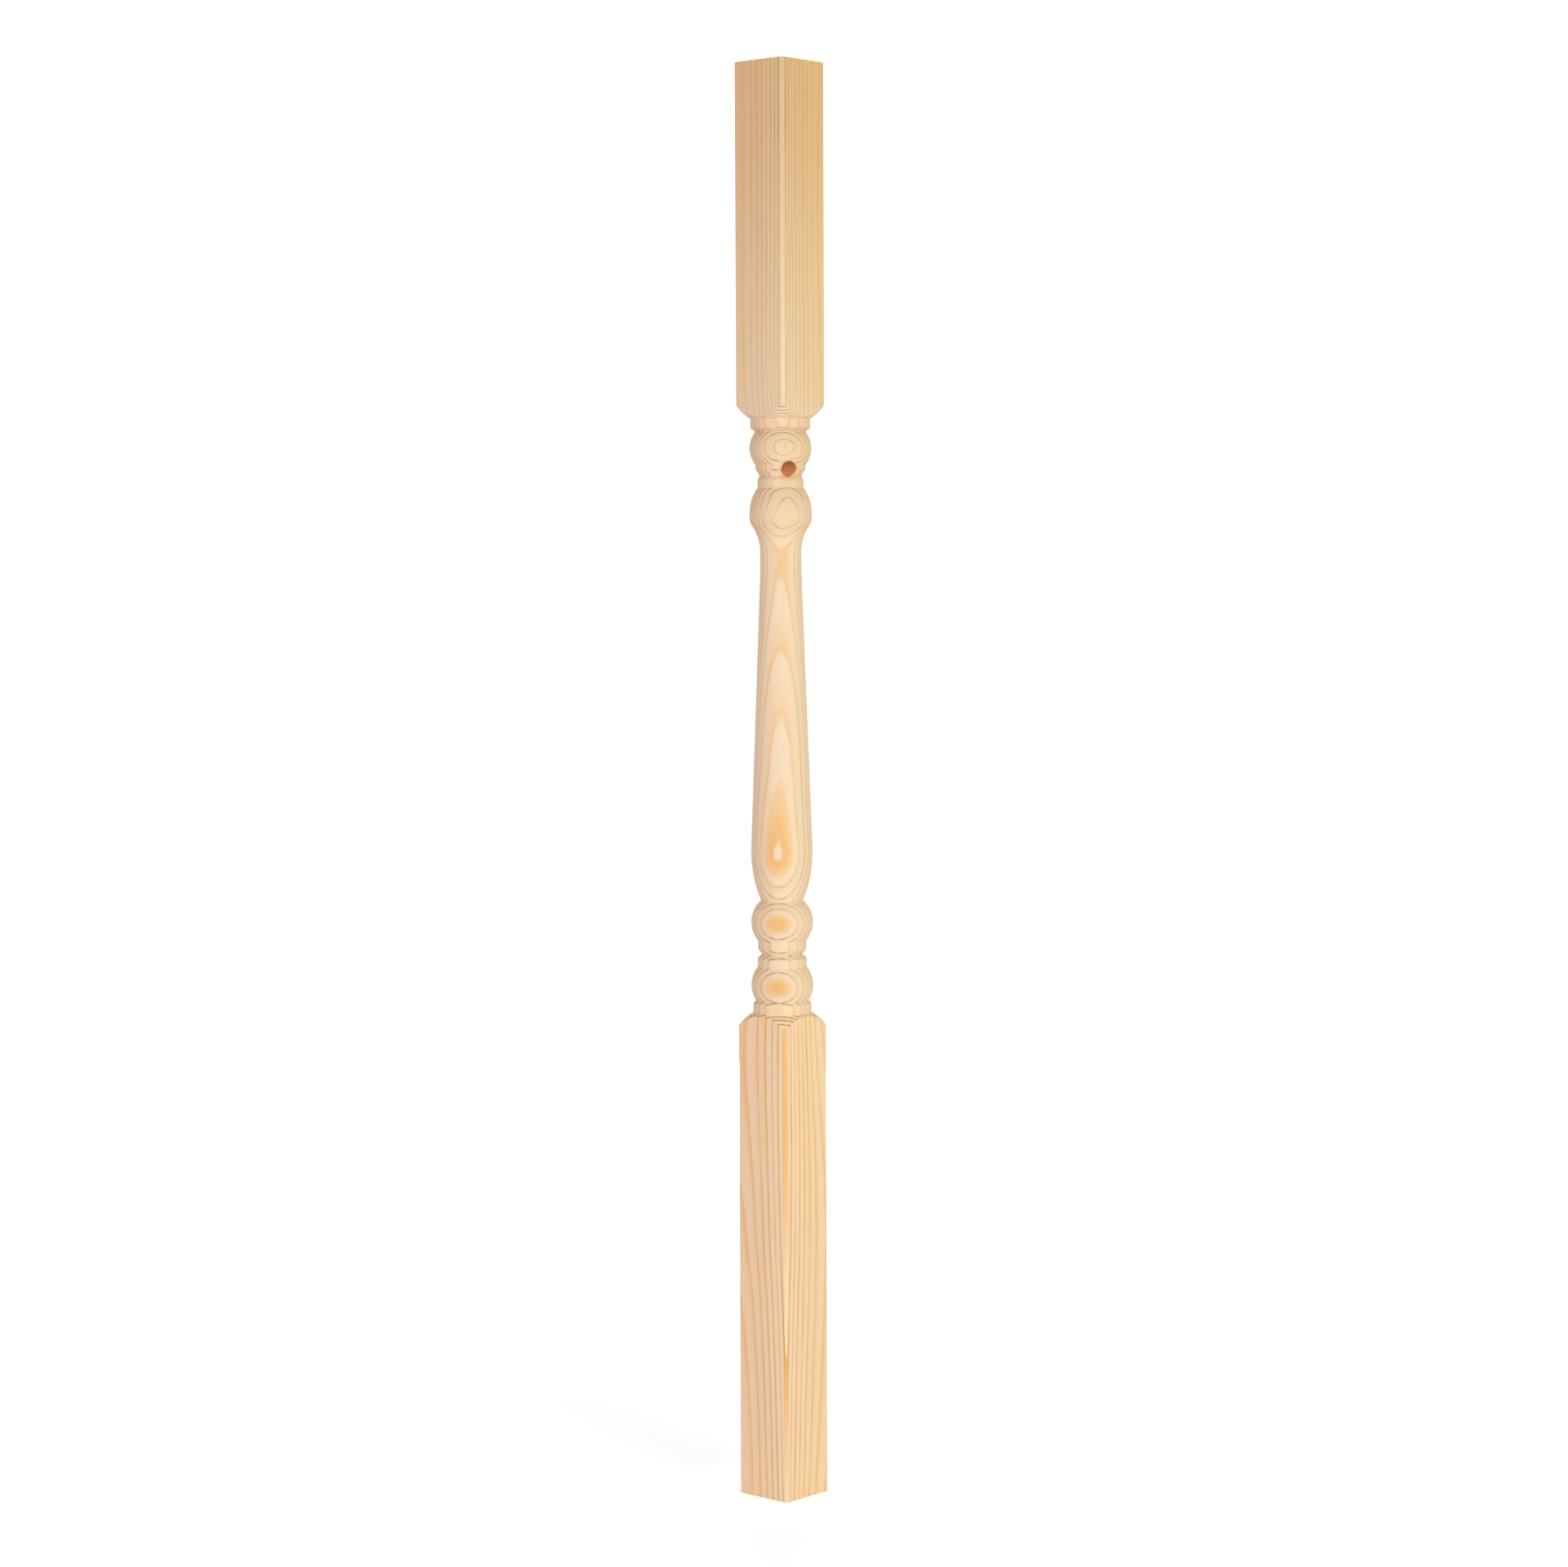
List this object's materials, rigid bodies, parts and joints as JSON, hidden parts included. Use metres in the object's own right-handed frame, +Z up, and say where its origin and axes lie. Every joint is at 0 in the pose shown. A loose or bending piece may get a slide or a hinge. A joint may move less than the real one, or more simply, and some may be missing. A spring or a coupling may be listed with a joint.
{
  "type": "stair baluster",
  "caption": "Turned pine stair baluster with a long square foot, paired beads, a tapered vase, a flared cap and a square head, to fill under a handrail.",
  "frame": {"origin": "centre of the square foot's end face", "axes": "+Z up the turning axis, from the foot to the head; X and Y square to the flat faces of the blocks"},
  "size_m": [0.04, 0.04, 0.9],
  "materials": {
    "pine": "planed and turned, sanded, bare"
  },
  "bodies": {
    "root": {"baluster": "pine"}
  },
  "joints": []
}
